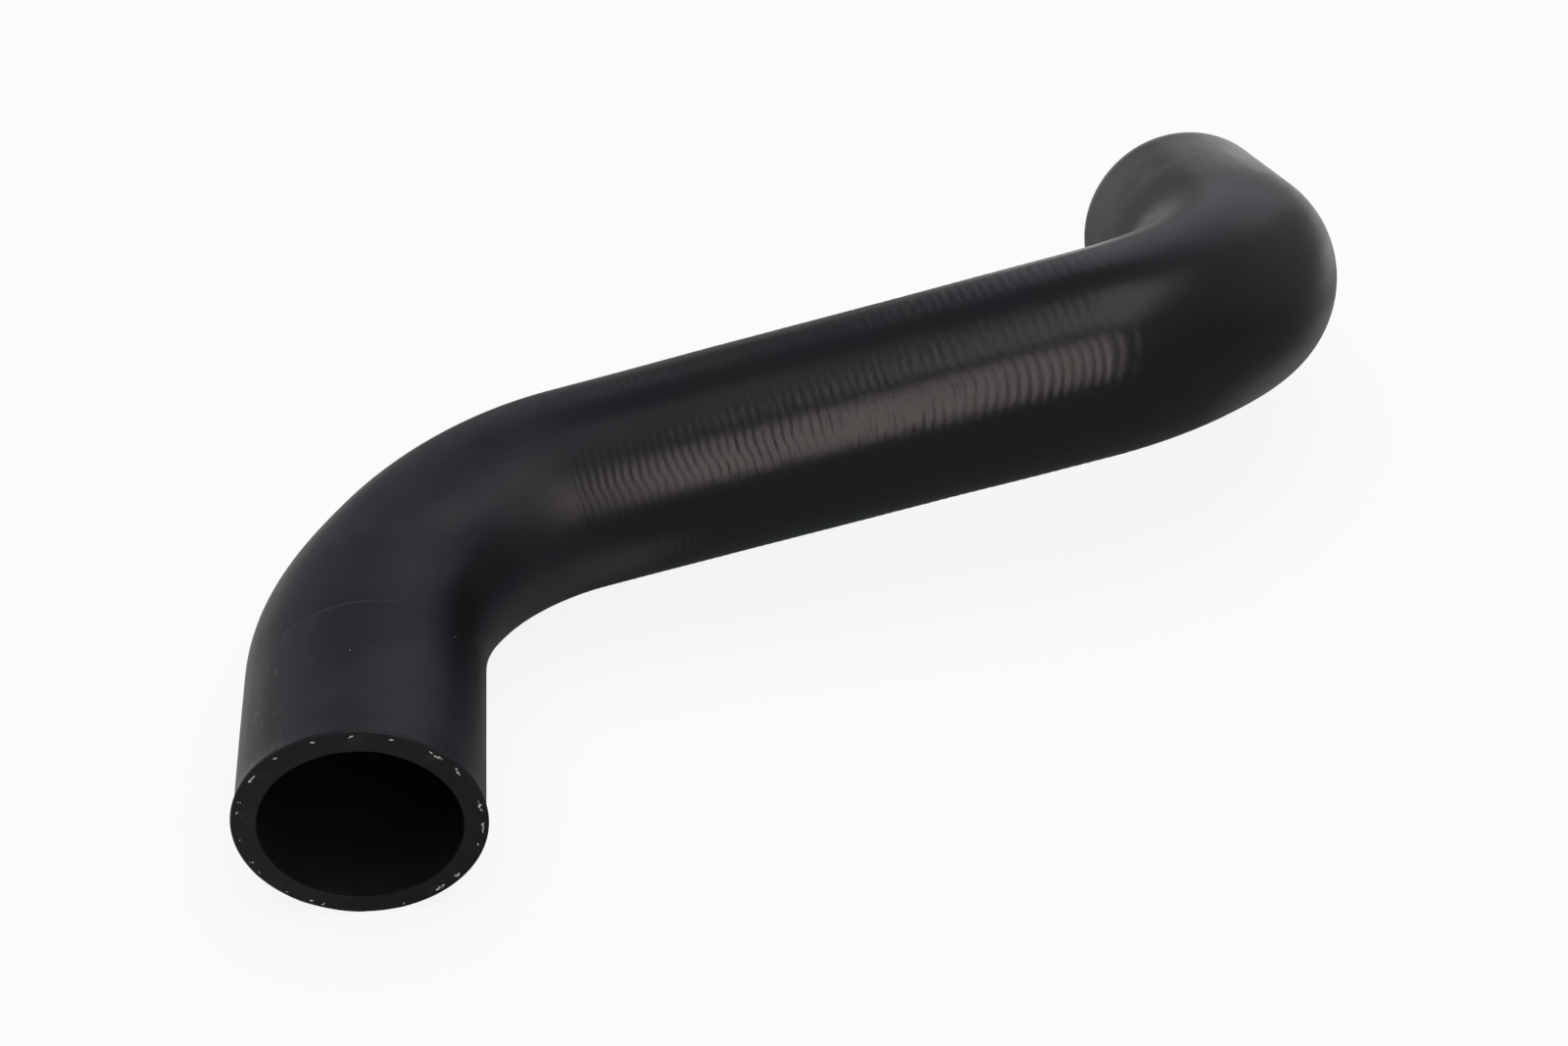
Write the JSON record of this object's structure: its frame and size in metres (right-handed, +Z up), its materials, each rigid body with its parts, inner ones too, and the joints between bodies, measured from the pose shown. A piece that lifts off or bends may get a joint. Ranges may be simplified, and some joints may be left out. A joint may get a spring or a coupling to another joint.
{
  "type": "charge air hose",
  "caption": "Moulded rubber hose that carries air round bends that lie in different planes, with plain cuffs to clamp over pipe ends.",
  "frame": {"origin": "centre of the bounding box at the floor that the hose lies on", "axes": "+X along the straight run, from the near cuff's side to the far cuff's; the near cuff opens towards -Y and the far cuff towards +Y; +Z up from the floor"},
  "size_m": [0.2998, 0.2392, 0.0856],
  "materials": {
    "hose_rubber": "satin black moulded rubber, with fine cloth-wrap ripples on the straight run and matt cut ends"
  },
  "bodies": {
    "root": {"hose": "hose_rubber"}
  },
  "joints": []
}
